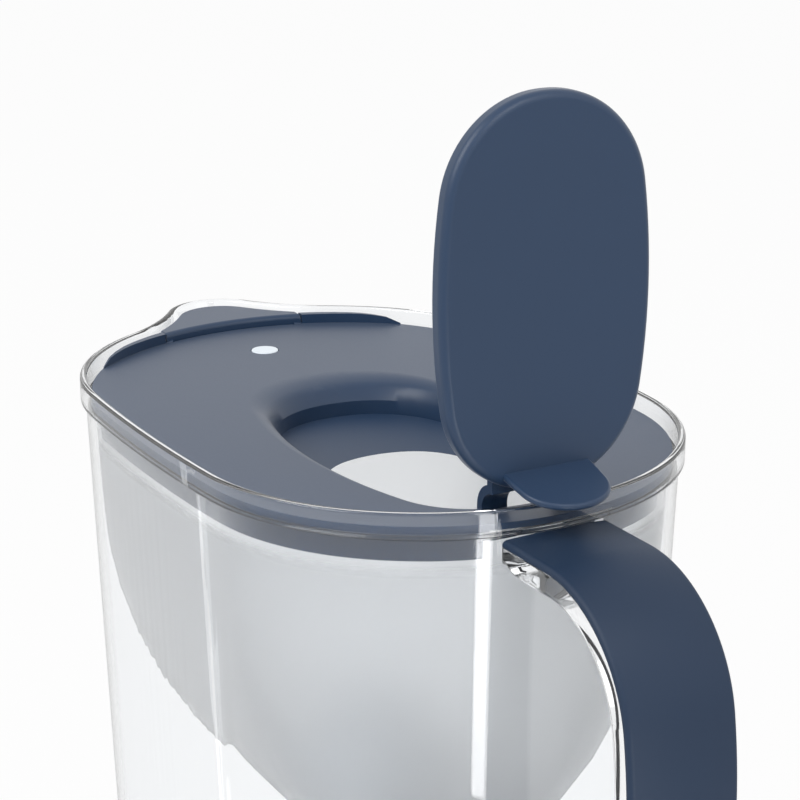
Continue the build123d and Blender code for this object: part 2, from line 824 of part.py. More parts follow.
def flip_lid():
    """Flip lid, standing open: the cover plate, the thumb tab and two hinge arms."""
    plate = prism(flip, flip_closed_bottom, flip_closed_top)
    top_edges = [edge for edge in plate.edges() if edge.center().Z > flip_closed_top - touch]
    plate = plate.fillet(flip_edge_radius, top_edges)
    lower_edges = [edge for edge in plate.edges() if edge.center().Z < flip_closed_bottom + touch]
    plate = plate.fillet(flip_edge_radius / 2, lower_edges)
    cover = open_turn * plate + thumb_tab()
    for low_y in (-arm_inner_y - arm_width, arm_inner_y):
        cover = cover + hinge_arm(low_y)
    bore_span = arm_inner_y + 2 * arm_width
    return cover - rod(hinge_pin_radius + hinge_running_fit, hinge_x, hinge_z, -bore_span, bore_span)


def flip_lid_liner():
    """Ring on the inside of the flip lid that drops into the recess."""
    outline = stretched(flip, -liner_inset, -liner_tail_gap, -liner_inset)
    low = flip_closed_bottom - liner_height
    ring = prism(outline, low, flip_closed_bottom)
    ring = ring - prism(outline.grown(-liner_wall), low - over, flip_closed_bottom - liner_wall / 2)
    return open_turn * ring


def flip_hinge_pin():
    """Steel pin of the flip lid."""
    span = arm_inner_y + arm_width + lug_side_gap + lug_width
    return rod(hinge_pin_radius, hinge_x, hinge_z, -span, span)


# ---------------------------------------------------------------- spout flap
def spout_flap():
    """Flap over the spout: tongue, rear wall along the crescent's arc and two stub pins."""
    top = lid_top + crescent_rise
    rear_low = lid_top - flap_rear_depth
    tongue = spout_solid(-rim_wall - flap_spout_gap, top - flap_thickness, top)
    rim_side = prism(rim.grown(-rim_wall - lid_rim_gap), top - flap_thickness, top)
    zone = flap_zone(0.0, rear_low - over, top + over)
    rear = disc(crescent_radius + flap_rear_wall, crescent_centre_x, rear_low, top)
    rear = rear & prism(rim.grown(-rim_wall - lid_rim_gap), rear_low, top)
    flap = (tongue + rim_side + rear) & zone
    pin_z = lid_top - flap_pin_drop
    reach = flap_half_width + flap_pin_length
    pins = rod(flap_pin_radius, flap_pin_x, pin_z, flap_half_width - flap_rear_wall, reach)
    pins = pins + rod(flap_pin_radius, flap_pin_x, pin_z, -reach, -flap_half_width + flap_rear_wall)
    return flap + pins


# ---------------------------------------------------------------- filter change indicator
housing_bottom = flange_top - housing_depth
cover_top = housing_bottom + cover_thickness
cell_bottom = cover_top + small_gap
cell_top = cell_bottom + cell_height
contact_top = cell_top + contact_thickness
board_top = contact_top + board_thickness
button_low = board_top + switch_height + button_travel + small_gap


def indicator_housing():
    """Cup under the lid that holds the electronics, with a shoulder for the circuit board."""
    outside = disc(housing_radius, indicator_x, housing_bottom, flange_top)
    bore = disc(housing_radius - housing_wall, indicator_x, housing_bottom - over, contact_top - housing_shoulder)
    upper = disc(housing_radius - housing_wall, indicator_x, contact_top, flange_top - housing_wall)
    neck = disc(cell_radius + 2 * small_gap, indicator_x, housing_bottom - over, contact_top + over)
    window = disc(
        button_radius + button_flange_width + button_gap, indicator_x, flange_top - 2 * housing_wall, flange_top + over
    )
    return outside - bore - upper - neck - window


def indicator_cover():
    """Screw-free battery cover, pressed into the bottom of the cup."""
    body = disc(housing_radius - housing_wall, indicator_x, housing_bottom, cover_top)
    ring = Pos(indicator_x, 0, (housing_bottom + cover_top) / 2) * Torus(
        housing_radius - housing_wall, cover_seal_radius
    )
    return body - ring


def cover_seal():
    """Sealing ring round the battery cover."""
    ring = Pos(indicator_x, 0, (housing_bottom + cover_top) / 2) * Torus(
        housing_radius - housing_wall, cover_seal_radius
    )
    return ring & disc(housing_radius - housing_wall, indicator_x, housing_bottom, cover_top)


def coin_cell():
    """Coin cell."""
    return disc(cell_radius, indicator_x, cell_bottom, cell_top)


def battery_contact():
    """Flat spring contact between the cell and the board."""
    length = 2 * cell_radius - contact_width
    return Pos(indicator_x, 0, (cell_top + contact_top) / 2) * Box(length, contact_width, contact_thickness)


def circuit_board():
    """Round circuit board on the cup's shoulder."""
    return disc(housing_radius - housing_wall - small_gap, indicator_x, contact_top, board_top)


def indicator_led():
    """Lamp chip beside the switch, under the button."""
    return Pos(indicator_x, led_offset, board_top + led_height / 2) * Box(led_size, led_size, led_height)


def indicator_switch():
    """Small switch under the button."""
    return Pos(indicator_x, 0, board_top + switch_height / 2) * Box(switch_size, switch_size, switch_height)


def indicator_button():
    """Translucent button and light window, with a flange under the lid plate."""
    flange_low = flange_top - small_gap - button_flange
    body = disc(button_radius, indicator_x, flange_low, lid_top + button_proud)
    flange = disc(button_radius + button_flange_width, indicator_x, flange_low, flange_low + button_flange)
    stem = disc(switch_size / 2, indicator_x, button_low, flange_low)
    return body + flange + stem


def main():
    """Write every piece of the pitcher to its own file."""
    os.makedirs("parts", exist_ok=True)
    jug_solid = jug()
    pieces = {
        "jug": jug_solid,
        "handle_grip": handle_grip(jug_solid),
        "hopper": hopper(),
        "cartridge_housing": cartridge_housing(),
        "cartridge_cap": cartridge_cap(),
        "cartridge_seal": cartridge_seal(),
        "filter_granules": filter_granules(),
        "cartridge_screen": cartridge_screen(),
        "lid_shell": lid_shell(),
        "flip_lid": flip_lid(),
        "flip_lid_liner": flip_lid_liner(),
        "flip_hinge_pin": flip_hinge_pin(),
        "spout_flap": spout_flap(),
        "indicator_housing": indicator_housing(),
        "indicator_cover": indicator_cover(),
        "cover_seal": cover_seal(),
        "coin_cell": coin_cell(),
        "battery_contact": battery_contact(),
        "circuit_board": circuit_board(),
        "indicator_led": indicator_led(),
        "indicator_switch": indicator_switch(),
        "indicator_button": indicator_button(),
    }
    for name, piece in pieces.items():
        export_step(piece, f"parts/{name}.step")


main()
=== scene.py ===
"""Looks of a family-size water filter pitcher with a flip lid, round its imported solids.

Everything is in metres, in the frame of the solids: +Z up, spout towards -X, handle towards +X,
origin at the centre of the resting face of the base.
"""

import json
import logging
import math
from collections.abc import Callable
from dataclasses import dataclass, field
from enum import Enum
from typing import Protocol

import bmesh
import bpy
import numpy as np
from mathutils import Matrix, Vector


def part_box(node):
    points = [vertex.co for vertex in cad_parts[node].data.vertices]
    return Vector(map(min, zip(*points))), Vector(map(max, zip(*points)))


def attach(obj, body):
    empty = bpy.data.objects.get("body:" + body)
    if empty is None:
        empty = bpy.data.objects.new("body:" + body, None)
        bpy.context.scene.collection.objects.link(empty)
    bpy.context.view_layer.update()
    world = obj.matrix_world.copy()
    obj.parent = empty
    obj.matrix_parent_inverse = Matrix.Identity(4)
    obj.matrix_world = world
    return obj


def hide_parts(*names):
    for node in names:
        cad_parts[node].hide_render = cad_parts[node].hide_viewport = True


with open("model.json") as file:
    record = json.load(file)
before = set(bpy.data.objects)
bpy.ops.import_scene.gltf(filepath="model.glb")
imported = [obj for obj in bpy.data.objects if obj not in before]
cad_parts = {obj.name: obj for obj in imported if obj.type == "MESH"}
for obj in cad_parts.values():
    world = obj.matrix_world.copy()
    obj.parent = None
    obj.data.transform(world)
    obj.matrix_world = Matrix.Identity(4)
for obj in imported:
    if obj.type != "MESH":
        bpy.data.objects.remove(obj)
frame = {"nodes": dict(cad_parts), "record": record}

LOG = logging.getLogger("pitcher")
MM = 0.001
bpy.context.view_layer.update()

RIM_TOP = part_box("jug")[1][2]
LID_TOP = RIM_TOP - 4.3 * MM
CRESCENT_TOP = LID_TOP + 2.9 * MM
ON_FACE = 0.02 * MM

Links = dict[str | int, bpy.types.NodeSocket]
PlaceTest = Callable[[Vector], bool]


# ---------------------------------------------------------------- colours and nodes
def linear(colour: str) -> tuple[float, float, float, float]:
    """Turn an sRGB hex colour into linear light.

    Args:
        colour: Six hex digits, such as "34455c".

    Returns:
        Red, green, blue and an alpha of one.
    """
    channels = [int(colour[i : i + 2], 16) / 255 for i in (0, 2, 4)]
    bright = [c / 12.92 if c <= 0.04045 else ((c + 0.055) / 1.055) ** 2.4 for c in channels]
    return (bright[0], bright[1], bright[2], 1.0)


def add_node(
    tree: bpy.types.NodeTree,
    kind: str,
    sockets: dict[str | int, object] | None = None,
    links: Links | None = None,
    **settings: object,
) -> bpy.types.Node:
    """Add a node with its settings and links.

    Args:
        tree: Node tree that gets the node.
        kind: Blender's name of the node type.
        sockets: Values for input sockets, by name or number.
        links: Output sockets that feed input sockets, by the input's name or number.
        **settings: Values for the node's own properties.

    Returns:
        The new node.
    """
    node = tree.nodes.new(kind)
    for name, value in settings.items():
        setattr(node, name, value)
    for name, value in (sockets or {}).items():
        node.inputs[name].default_value = value
    for name, source in (links or {}).items():
        tree.links.new(source, node.inputs[name])
    return node


def empty_tree(owner: bpy.types.Material | bpy.types.World) -> bpy.types.NodeTree:
    """Return a material's or the world's node tree with nothing in it."""
    owner.use_nodes = True
    owner.node_tree.nodes.clear()
    return owner.node_tree


# ---------------------------------------------------------------- finishes
class Finish(Protocol):
    """Anything that can make a material."""

    name: str

    def make(self) -> bpy.types.Material:
        """Build the material."""


class Texture(Enum):
    """Surface of the mould that a plastic was made in, as grain in mm and depth in mm."""

    POLISHED = (9.0, 0.002)
    SATIN = (0.9, 0.005)
    SPARK_ERODED = (0.5, 0.010)
    SOFT_TOUCH = (0.65, 0.012)


@dataclass(frozen=True)
class OpaquePlastic:
    """Coloured moulded plastic with a fine mould texture and a faint unevenness of tone."""

    name: str
    colour: str
    second_colour: str
    roughness: float
    texture: Texture
    specular: float = 0.5
    sheen: float = 0.0

    def make(self) -> bpy.types.Material:
        """Build the material."""
        material = bpy.data.materials.new(self.name)
        tree = empty_tree(material)
        grain, depth = self.texture.value
        where = add_node(tree, "ShaderNodeTexCoord").outputs["Object"]
        cloud = add_node(
            tree, "ShaderNodeTexNoise", {"Scale": 1 / (60 * MM), "Detail": 3.0}, {"Vector": where}
        )
        tone = add_node(
            tree,
            "ShaderNodeMix",
            {6: linear(self.colour), 7: linear(self.second_colour)},
            {0: cloud.outputs["Fac"]},
            data_type="RGBA",
        )
        fine = add_node(
            tree,
            "ShaderNodeTexNoise",
            {"Scale": 1 / (grain * MM), "Detail": 2.0},
            {"Vector": where},
        )
        gloss = add_node(
            tree,
            "ShaderNodeMapRange",
            {"To Min": self.roughness - 0.03, "To Max": self.roughness + 0.03},
            {"Value": fine.outputs["Fac"]},
        )
        bump = add_node(
            tree,
            "ShaderNodeBump",
            {"Strength": 0.6, "Distance": depth * MM},
            {"Height": fine.outputs["Fac"]},
        )
        surface = add_node(
            tree,
            "ShaderNodeBsdfPrincipled",
            {
                "IOR": 1.5,
                "Specular IOR Level": self.specular,
                "Sheen Weight": self.sheen,
                "Sheen Roughness": 0.4,
            },
            {
                "Base Color": tone.outputs[2],
                "Roughness": gloss.outputs["Result"],
                "Normal": bump.outputs["Normal"],
            },
        )
        add_node(tree, "ShaderNodeOutputMaterial", links={"Surface": surface.outputs["BSDF"]})
        return material


@dataclass(frozen=True)
class ClearPlastic:
    """Clear moulded plastic that lets lamps through, with a slow ripple left by the flow."""

    name: str
    colour: str
    roughness: float
    ior: float
    shade: str
    ripple: float = 0.01

    def make(self) -> bpy.types.Material:
        """Build the material."""
        material = bpy.data.materials.new(self.name)
        tree = empty_tree(material)
        coords = add_node(tree, "ShaderNodeTexCoord")
        flow = add_node(
            tree,
            "ShaderNodeTexNoise",
            {"Scale": 1 / (35 * MM), "Detail": 1.0},
            {"Vector": coords.outputs["Object"]},
        )
        bump = add_node(
            tree,
            "ShaderNodeBump",
            {"Strength": 0.3, "Distance": self.ripple * MM},
            {"Height": flow.outputs["Fac"]},
        )
        clear = add_node(
            tree,
            "ShaderNodeBsdfPrincipled",
            {
                "Base Color": linear(self.colour),
                "Roughness": self.roughness,
                "IOR": self.ior,
                "Transmission Weight": 1.0,
            },
            {"Normal": bump.outputs["Normal"]},
        )
        shade = add_node(tree, "ShaderNodeBsdfTransparent", {"Color": linear(self.shade)})
        path = add_node(tree, "ShaderNodeLightPath")
        mix = add_node(
            tree,
            "ShaderNodeMixShader",
            links={
                0: path.outputs["Is Shadow Ray"],
                1: clear.outputs["BSDF"],
                2: shade.outputs["BSDF"],
            },
        )
        add_node(tree, "ShaderNodeOutputMaterial", links={"Surface": mix.outputs["Shader"]})
        return material


@dataclass(frozen=True)
class FrostedPlastic:
    """Milky moulded plastic that is clear in its thin upper band, above a height."""

    name: str
    colour: str
    roughness: float
    clear: float
    passing: float
    shade: str
    clear_above: float
    fade: float = 3.0 * MM

    def make(self) -> bpy.types.Material:
        """Build the material."""
        material = bpy.data.materials.new(self.name)
        tree = empty_tree(material)
        coords = add_node(tree, "ShaderNodeTexCoord")
        place = add_node(
            tree, "ShaderNodeSeparateXYZ", links={"Vector": coords.outputs["Object"]}
        )
        milkiness = add_node(
            tree,
            "ShaderNodeMapRange",
            {
                "From Min": self.clear_above - self.fade,
                "From Max": self.clear_above,
                "To Min": 1.0,
                "To Max": 0.0,
            },
            {"Value": place.outputs["Z"]},
        )
        flow = add_node(
            tree,
            "ShaderNodeTexNoise",
            {"Scale": 1 / (25 * MM), "Detail": 2.0},
            {"Vector": coords.outputs["Object"]},
        )
        gloss = add_node(
            tree,
            "ShaderNodeMapRange",
            {"To Min": self.roughness - 0.04, "To Max": self.roughness + 0.04},
            {"Value": flow.outputs["Fac"]},
        )
        skin = add_node(
            tree,
            "ShaderNodeBsdfPrincipled",
            {
                "Base Color": linear(self.colour),
                "IOR": 1.4,
                "Transmission Weight": self.clear,
            },
            {"Roughness": gloss.outputs["Result"]},
        )
        through = add_node(tree, "ShaderNodeBsdfTranslucent", {"Color": linear(self.colour)})
        milky = add_node(
            tree,
            "ShaderNodeMixShader",
            {0: self.passing},
            {1: skin.outputs["BSDF"], 2: through.outputs["BSDF"]},
        )
        glassy = add_node(
            tree,
            "ShaderNodeBsdfPrincipled",
            {
                "Base Color": linear(self.colour),
                "Roughness": 0.06,
                "IOR": 1.3,
                "Transmission Weight": 1.0,
            },
        )
        body = add_node(
            tree,
            "ShaderNodeMixShader",
            links={
                0: milkiness.outputs["Result"],
                1: glassy.outputs["BSDF"],
                2: milky.outputs["Shader"],
            },
        )
        shade = add_node(tree, "ShaderNodeBsdfTransparent", {"Color": linear(self.shade)})
        path = add_node(tree, "ShaderNodeLightPath")
        mix = add_node(
            tree,
            "ShaderNodeMixShader",
            links={
                0: path.outputs["Is Shadow Ray"],
                1: body.outputs["Shader"],
                2: shade.outputs["BSDF"],
            },
        )
        add_node(tree, "ShaderNodeOutputMaterial", links={"Surface": mix.outputs["Shader"]})
        return material


@dataclass(frozen=True)
class GroundSteel:
    """Stainless steel with fine grinding lines round the X axis."""

    name: str
    colour: str
    roughness: float
    line: float = 0.15

    def make(self) -> bpy.types.Material:
        """Build the material."""
        material = bpy.data.materials.new(self.name)
        tree = empty_tree(material)
        coords = add_node(tree, "ShaderNodeTexCoord")
        stretch = add_node(
            tree,
            "ShaderNodeMapping",
            {"Scale": (0.04, 1.0, 0.04)},
            {"Vector": coords.outputs["Object"]},
        )
        lines = add_node(
            tree,
            "ShaderNodeTexNoise",
            {"Scale": 1 / (self.line * MM), "Detail": 2.0},
            {"Vector": stretch.outputs["Vector"]},
        )
        gloss = add_node(
            tree,
            "ShaderNodeMapRange",
            {"To Min": self.roughness - 0.06, "To Max": self.roughness + 0.06},
            {"Value": lines.outputs["Fac"]},
        )
        surface = add_node(
            tree,
            "ShaderNodeBsdfPrincipled",
            {"Base Color": linear(self.colour), "Metallic": 1.0},
            {"Roughness": gloss.outputs["Result"]},
        )
        add_node(tree, "ShaderNodeOutputMaterial", links={"Surface": surface.outputs["BSDF"]})
        return material


class Pattern(Enum):
    """How the two tones of a patterned material are laid out."""

    GRAINS = "grains"
    WEAVE = "weave"


@dataclass(frozen=True)
class Patterned:
    """Matt material with a pattern of cells or lines in two colours."""

    name: str
    colour: str
    second_colour: str
    roughness: float
    pitch: float
    pattern: Pattern

    def make(self) -> bpy.types.Material:
        """Build the material."""
        material = bpy.data.materials.new(self.name)
        tree = empty_tree(material)
        where = add_node(tree, "ShaderNodeTexCoord").outputs["Object"]
        if self.pattern is Pattern.GRAINS:
            cells = add_node(
                tree, "ShaderNodeTexVoronoi", {"Scale": 1 / (self.pitch * MM)}, {"Vector": where}
            )
            height = cells.outputs["Distance"]
        else:
            bands = [
                add_node(
                    tree,
                    "ShaderNodeTexWave",
                    {"Scale": 0.314 / (self.pitch * MM)},
                    {"Vector": where},
                    bands_direction=way,
                )
                for way in ("X", "Y")
            ]
            crossing = add_node(
                tree,
                "ShaderNodeMath",
                links={0: bands[0].outputs["Fac"], 1: bands[1].outputs["Fac"]},
                operation="MAXIMUM",
            )
            height = crossing.outputs[0]
        tone = add_node(
            tree,
            "ShaderNodeMix",
            {6: linear(self.second_colour), 7: linear(self.colour)},
            {0: height},
            data_type="RGBA",
        )
        bump = add_node(
            tree,
            "ShaderNodeBump",
            {"Strength": 0.8, "Distance": 0.2 * self.pitch * MM},
            {"Height": height},
        )
        surface = add_node(
            tree,
            "ShaderNodeBsdfPrincipled",
            {"Roughness": self.roughness},
            {"Base Color": tone.outputs[2], "Normal": bump.outputs["Normal"]},
        )
        add_node(tree, "ShaderNodeOutputMaterial", links={"Surface": surface.outputs["BSDF"]})
        return material


FINISHES: dict[str, Finish] = {
    # Clear jug: glassy, nearly colourless, white at its edges.
    "clear_plastic": ClearPlastic("san_moulded_clear_gloss", "fbfcfd", 0.0, 1.5, "f6f8fa"),
    # Hopper: milky, smooth pale grey seen through the jug.
    "hopper_plastic": FrostedPlastic(
        "san_moulded_frosted_pale_grey",
        "fbfcfd",
        0.38,
        0.95,
        0.05,
        "e6e8ea",
        RIM_TOP - 15.5 * MM,
    ),
    # Lid and flip lid: slate blue with a soft, even sheen that pales at low angles.
    "blue_plastic": OpaquePlastic(
        "abs_moulded_spark_eroded_slate_blue", "1a3554", "17304c", 0.4, Texture.SPARK_ERODED, 0.5, 0.2
    ),
    # Grip: the same blue, a little duller.
    "grip_rubber": OpaquePlastic(
        "tpe_moulded_soft_touch_slate_blue", "1b2f48", "182a41", 0.5, Texture.SOFT_TOUCH, 0.35
    ),
    # Button: opal white with a clear gloss.
    "lens_plastic": OpaquePlastic(
        "pc_moulded_opal_white", "e6eef5", "dfe8f0", 0.25, Texture.POLISHED
    ),
    "white_plastic": OpaquePlastic("pp_moulded_white", "e8e9ea", "dfe1e3", 0.4, Texture.SATIN),
    "seal_rubber": OpaquePlastic(
        "silicone_moulded_grey", "b9bcbf", "b2b5b8", 0.55, Texture.SATIN
    ),
    "granules": Patterned("carbon_granules", "2b2b2b", "0c0c0c", 0.7, 0.9, Pattern.GRAINS),
    "screen_mesh": Patterned("pp_woven_screen", "e4e4e2", "9a9c9d", 0.5, 0.5, Pattern.WEAVE),
    "steel": GroundSteel("stainless_steel_ground", "c9cbcd", 0.3),
    "board": Patterned("glass_epoxy_board", "1d6b3c", "175a32", 0.4, 1.2, Pattern.WEAVE),
    "black_plastic": OpaquePlastic(
        "abs_moulded_black", "1c1d1f", "242527", 0.4, Texture.SATIN
    ),
}
SLOT_OF_NODE = {row["node"]: row["material_slot"] for row in frame["record"]["subparts"]}


@dataclass
class Palette:
    """The materials, each made when it is first asked for."""

    made: dict[str, bpy.types.Material] = field(default_factory=dict)

    def of_slot(self, slot: str) -> bpy.types.Material:
        """Return the material of a slot of the record."""
        if slot not in self.made:
            self.made[slot] = FINISHES[slot].make()
        return self.made[slot]

    def dress(self, piece: bpy.types.Object, slot: str) -> None:
        """Give a piece one material all over."""
        piece.data.materials.clear()
        piece.data.materials.append(self.of_slot(slot))

    def dress_nodes(self, *nodes: str) -> None:
        """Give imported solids, shown as they are, their materials."""
        for node in nodes:
            self.dress(frame["nodes"][node], SLOT_OF_NODE[node])
            LOG.info("solid %s shown in %s", node, SLOT_OF_NODE[node])


# ---------------------------------------------------------------- modelling by hand
def pick(piece: bpy.types.Object) -> None:
    """Make a piece the active one and the only one selected."""
    bpy.ops.object.select_all(action="DESELECT")
    piece.select_set(True)
    bpy.context.view_layer.objects.active = piece


def merged_copy(node: str, name: str) -> bpy.types.Object:
    """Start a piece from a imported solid, with its loose triangles joined into faces.

    Args:
        node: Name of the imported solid.
        name: Name of the new piece.

    Returns:
        The new piece, at the origin.
    """
    piece = bpy.data.objects.new(name, frame["nodes"][node].data.copy())
    bpy.context.scene.collection.objects.link(piece)
    pick(piece)
    bpy.ops.mesh.customdata_custom_splitnormals_clear()
    bpy.ops.object.mode_set(mode="EDIT")
    bpy.ops.mesh.select_all(action="SELECT")
    bpy.ops.mesh.remove_doubles(threshold=0.002 * MM)
    bpy.ops.mesh.dissolve_limited(angle_limit=math.radians(0.4))
    bpy.ops.object.mode_set(mode="OBJECT")
    return piece


@dataclass(frozen=True)
class Rounding:
    """Edges found by their place, and the radius that they get."""

    where: PlaceTest
    radius: float
    steps: int = 3
    sharper_than: float = 30.0

    def apply(self, piece: bpy.types.Object) -> int:
        """Round the edges.

        Args:
            piece: The piece whose edges are rounded.

        Returns:
            How many edges were found.
        """
        pick(piece)
        bpy.ops.object.mode_set(mode="EDIT")
        bpy.ops.mesh.select_mode(type="EDGE")
        bpy.ops.mesh.select_all(action="DESELECT")
        mesh = bmesh.from_edit_mesh(piece.data)
        found = 0
        for edge in mesh.edges:
            if len(edge.link_faces) != 2:
                continue
            if edge.calc_face_angle(0.0) < math.radians(self.sharper_than):
                continue
            if all(self.where(corner.co) for corner in edge.verts):
                edge.select_set(True)
                found += 1
        bmesh.update_edit_mesh(piece.data)
        if found:
            bpy.ops.mesh.bevel(
                offset=self.radius,
                offset_type="OFFSET",
                segments=self.steps,
                profile=0.5,
                affect="EDGES",
                clamp_overlap=True,
            )
        bpy.ops.object.mode_set(mode="OBJECT")
        return found


def smooth(piece: bpy.types.Object, angle: float = 34.0) -> None:
    """Shade a piece smooth but for its sharp edges, with flat faces kept flat."""
    pick(piece)
    bpy.ops.object.shade_smooth_by_angle(angle=math.radians(angle))
    bpy.ops.object.modifier_add(type="WEIGHTED_NORMAL")
    weighted = piece.modifiers[-1]
    weighted.keep_sharp = True
    bpy.ops.object.modifier_apply(modifier=weighted.name)


def stand_in(
    node: str, name: str, body: str, palette: Palette, roundings: tuple[Rounding, ...] = ()
) -> bpy.types.Object:
    """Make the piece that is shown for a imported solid, with rounded edges.

    Args:
        node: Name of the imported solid.
        name: Name of the new piece.
        body: Body that the piece rides on.
        palette: The materials.
        roundings: Edges to round, in order.

    Returns:
        The new piece.
    """
    piece = merged_copy(node, name)
    counts = [rounding.apply(piece) for rounding in roundings]
    smooth(piece)
    palette.dress(piece, SLOT_OF_NODE[node])
    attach(piece, body)
    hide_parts(node)
    LOG.info("piece %s on %s, edges rounded: %s", name, body, counts)
    return piece


def at_height(height: float) -> PlaceTest:
    """Return a test for points at a height."""
    return lambda point: abs(point.z - height) < ON_FACE


def wrapped_grid(name: str, rings: list[np.ndarray]) -> bpy.types.Object:
    """Wrap a grid round a row of closed rings, and close both ends.

    Args:
        name: Name of the new piece.
        rings: Rings of points in metres, each of the same count.

    Returns:
        The new piece, closed, with its faces outwards.
    """
    count = len(rings[0])
    bpy.ops.object.select_all(action="DESELECT")
    bpy.ops.mesh.primitive_grid_add(x_subdivisions=count, y_subdivisions=len(rings) - 1, size=1)
    piece = bpy.context.object
    piece.name = name
    corners = np.concatenate([np.vstack([ring, ring[:1]]) for ring in rings])
    piece.data.vertices.foreach_set("co", corners.ravel())
    bpy.ops.object.mode_set(mode="EDIT")
    bpy.ops.mesh.select_all(action="SELECT")
    bpy.ops.mesh.remove_doubles(threshold=0.001 * MM)
    bpy.ops.mesh.fill_holes(sides=0)
    bpy.ops.mesh.select_all(action="SELECT")
    bpy.ops.mesh.normals_make_consistent(inside=False)
    bpy.ops.object.mode_set(mode="OBJECT")
    return piece


# ---------------------------------------------------------------- sub-assemblies
@dataclass(frozen=True)
class Oval:
    """Plan of the rim in millimetres: two side arcs, two end arcs and four corner arcs."""

    half_length: float = 99.6
    half_width: float = 69.6
    side: float = 591.6
    end: float = 71.479
    corner: float = 62.64

    def corner_centre(self) -> np.ndarray:
        """Centre of the corner arc in the first quarter."""
        end_centre = np.array([self.half_length - self.end, 0.0])
        side_centre = np.array([0.0, self.half_width - self.side])
        between = side_centre - end_centre
        span = np.hypot(*between)
        to_end = self.end - self.corner
        to_side = self.side - self.corner
        along = (to_end**2 - to_side**2 + span**2) / (2 * span)
        across = math.sqrt(max(to_end**2 - along**2, 0.0))
        unit = between / span
        foot = end_centre + unit * along
        shift = np.array([unit[1], -unit[0]]) * across
        return max(foot + shift, foot - shift, key=lambda point: point.sum())

    def points(self, inset: float, count: int = 1440) -> np.ndarray:
        """Points of the outline moved inwards, evenly spread over its directions."""
        middle = self.corner_centre()
        end_turn = math.atan2(middle[1], middle[0] - (self.half_length - self.end))
        side_turn = math.atan2(middle[1] - (self.half_width - self.side), middle[0])
        turns = np.linspace(-math.pi, math.pi, count, endpoint=False)
        folded = np.arctan2(np.abs(np.sin(turns)), np.abs(np.cos(turns)))
        at_end = folded < end_turn
        at_side = folded >= side_turn
        centre_x = np.where(at_end, self.half_length - self.end, np.where(at_side, 0.0, middle[0]))
        centre_y = np.where(at_end, 0.0, np.where(at_side, self.half_width - self.side, middle[1]))
        radius = np.where(at_end, self.end, np.where(at_side, self.side, self.corner)) - inset
        x = (centre_x + radius * np.cos(folded)) * np.sign(np.cos(turns))
        y = (centre_y + radius * np.sin(folded)) * np.where(turns < 0, -1.0, 1.0)
        return np.stack([x, y], axis=1)

    def reach(self, angles: np.ndarray, inset: float) -> np.ndarray:
        """Distance from the centre to the outline in each direction."""
        outline = self.points(inset)
        around = np.arctan2(outline[:, 1], outline[:, 0])
        order = np.argsort(around)
        return np.interp(
            angles, around[order], np.hypot(*outline.T)[order], period=2 * math.pi
        )


@dataclass(frozen=True)
class Spout:
    """Plan of the spout in millimetres: a round nose blended into the end of the rim."""

    rim: Oval = Oval()
    beyond: float = 17.2
    nose: float = 16.6
    blend: float = 64.0
    depth: float = 58.0
    slope: float = 0.35391

    def reach(self, angles: np.ndarray, grow: float, depth: float) -> np.ndarray:
        """Distance from the centre to the spout in each direction, nought beside it."""
        if depth > self.depth:
            return np.zeros_like(angles)
        end_centre = np.array([self.rim.end - self.rim.half_length, 0.0])
        nose_centre = np.array([self.nose - self.beyond - self.rim.half_length, 0.0])
        span = end_centre[0] - nose_centre[0]
        from_end = self.rim.end + self.blend
        from_nose = self.nose + self.blend
        along = (from_end**2 - from_nose**2 + span**2) / (2 * span)
        across = math.sqrt(from_end**2 - along**2)
        blend_centre = np.array([end_centre[0] - along, across])
        to_end = np.arctan2(*(end_centre - blend_centre)[::-1])
        to_nose = np.arctan2(*(nose_centre - blend_centre)[::-1])
        blend_turns = np.linspace(to_end, to_nose, 60)
        blend_arc = blend_centre + (self.blend - grow) * np.stack(
            [np.cos(blend_turns), np.sin(blend_turns)], axis=1
        )
        start = math.atan2(across, blend_centre[0] - nose_centre[0])
        nose_turns = np.linspace(start, math.pi, 60)
        nose_arc = nose_centre + (self.nose + grow) * np.stack(
            [np.cos(nose_turns), np.sin(nose_turns)], axis=1
        )
        half = np.concatenate([blend_arc, nose_arc])
        half[:, 0] += self.slope * depth
        around = np.arctan2(half[:, 1], half[:, 0])
        order = np.argsort(around)
        folded = np.abs(np.arctan2(np.sin(angles), np.cos(angles)))
        reach = np.interp(folded, around[order], np.hypot(*half.T)[order])
        return np.where(folded < around.min(), 0.0, reach)


@dataclass(frozen=True)
class Station:
    """One ring of the jug in millimetres: its depth under the rim and how far it is set in."""

    depth: float
    inset: float
    spout_grow: float


